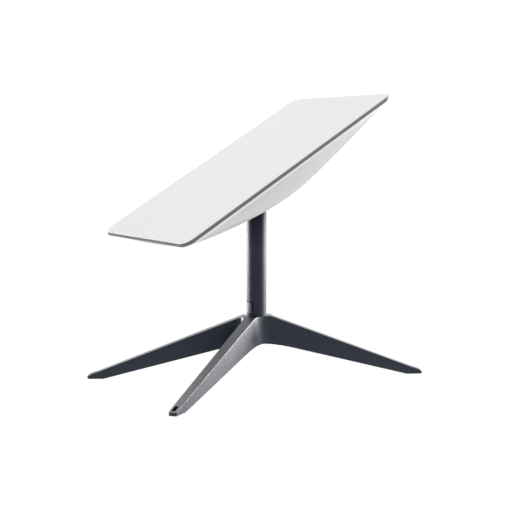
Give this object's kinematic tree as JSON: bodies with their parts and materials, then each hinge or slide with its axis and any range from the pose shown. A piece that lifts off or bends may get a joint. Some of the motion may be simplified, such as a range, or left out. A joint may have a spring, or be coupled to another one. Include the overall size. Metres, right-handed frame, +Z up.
{
  "type": "flat-panel satellite terminal",
  "caption": "White rectangular flat-panel antenna with a hull-shaped back, turning and tilting on a round slate mast latched into a four-legged X base.",
  "frame": {"origin": "on the ground under the mast axis, at the middle of the four-legged base", "axes": "+Z up along the mast; +X towards the raised end of the antenna face at rest; +Y across the face"},
  "size_m": [0.5584, 0.3326, 0.5336],
  "materials": {
    "face_plastic": "smooth satin white radome",
    "band_plastic": "mid grey moulded edge strip",
    "foam": "closed cell spacer",
    "circuit_board": "green solder mask",
    "chip_black": "moulded packages",
    "aluminium_sheet": "rolled sheet",
    "brass_hex": "turned posts",
    "shell_plastic": "fine satin white moulding",
    "dark_plastic": "moulded, fine texture",
    "steel_zinc": "zinc plated",
    "cast_metal": "die cast",
    "bushing_bronze": "sintered bronze",
    "motor_steel": "drawn can",
    "gear_steel": "cut teeth",
    "slate_paint": "slate powder coat",
    "slate_cast": "slate powder coat over casting",
    "button_plastic": "satin",
    "contact_gold": "gold plated",
    "spring_steel": "music wire",
    "cable_jacket": "round jacket",
    "pad_rubber": "moulded sole"
  },
  "bodies": {
    "panel": {"radome_cover": "face_plastic", "rim_band": "band_plastic", "foam_spacer": "foam", "antenna_board": "circuit_board", "beamformer_chips": "chip_black", "heat_spreader": "aluminium_sheet", "chassis_plate": "aluminium_sheet", "control_board": "circuit_board", "control_modules": "chip_black", "control_standoffs": "brass_hex", "rear_shell": "shell_plastic", "mast_well": "dark_plastic", "shell_screws": "steel_zinc", "tilt_bracket_left": "cast_metal", "tilt_bracket_right": "cast_metal", "tilt_bushings": "bushing_bronze", "bracket_screws": "steel_zinc", "tilt_motor_bracket": "steel_zinc", "tilt_motor": "motor_steel"},
    "head": {"tilt_gear": "gear_steel", "azimuth_ring_gear": "gear_steel", "swivel_head": "slate_paint", "tilt_axle": "gear_steel", "axle_clips": "steel_zinc", "ring_gear_screws": "steel_zinc"},
    "tilt_pinion": {"tilt_pinion": "gear_steel"},
    "azimuth_pinion": {"azimuth_pinion": "gear_steel"},
    "base": {"mast_tube": "slate_paint", "mast_foot_plug": "dark_plastic", "connector_socket": "dark_plastic", "connector_contacts": "contact_gold", "latch_carrier": "dark_plastic", "button_spring": "spring_steel", "mast_harness": "cable_jacket", "azimuth_motor_mount": "cast_metal", "azimuth_motor": "motor_steel", "azimuth_bearing_housing": "cast_metal", "azimuth_bushings": "bushing_bronze", "thrust_washer": "bushing_bronze", "base_casting": "slate_cast", "foot_pads": "pad_rubber"},
    "release_button": {"release_button": "button_plastic", "latch_bolt": "steel_zinc"}
  },
  "joints": [
    {"name": "azimuth", "type": "hinge", "parent": "base", "child": "head", "pos_m": [0, 0, 0.331], "axis": [0, 0, 1], "range_deg": [-170, 170]},
    {"name": "azimuth_pinion_turn", "type": "hinge", "parent": "base", "child": "azimuth_pinion", "pos_m": [0.0084, 0, 0.2959], "axis": [0, 0, 1], "range_deg": [-510, 510]},
    {"name": "tilt", "type": "hinge", "parent": "head", "child": "panel", "pos_m": [0, 0, 0.368], "axis": [0, -1, 0], "range_deg": [-30, 58]},
    {"name": "tilt_pinion_turn", "type": "hinge", "parent": "panel", "child": "tilt_pinion", "pos_m": [0.02425, 0.034, 0.382], "axis": [0, -1, 0], "range_deg": [-90, 174]},
    {"name": "release_press", "type": "slide", "parent": "base", "child": "release_button", "axis": [1, 0, 0], "range_m": [0, 0.0025], "stiffness_N_per_m": 1500, "deforming": ["button_spring"]}
  ],
  "couplings": [
    {"joint": "azimuth_pinion_turn", "follows": "azimuth", "ratio": 3},
    {"joint": "tilt_pinion_turn", "follows": "tilt", "ratio": 3}
  ]
}
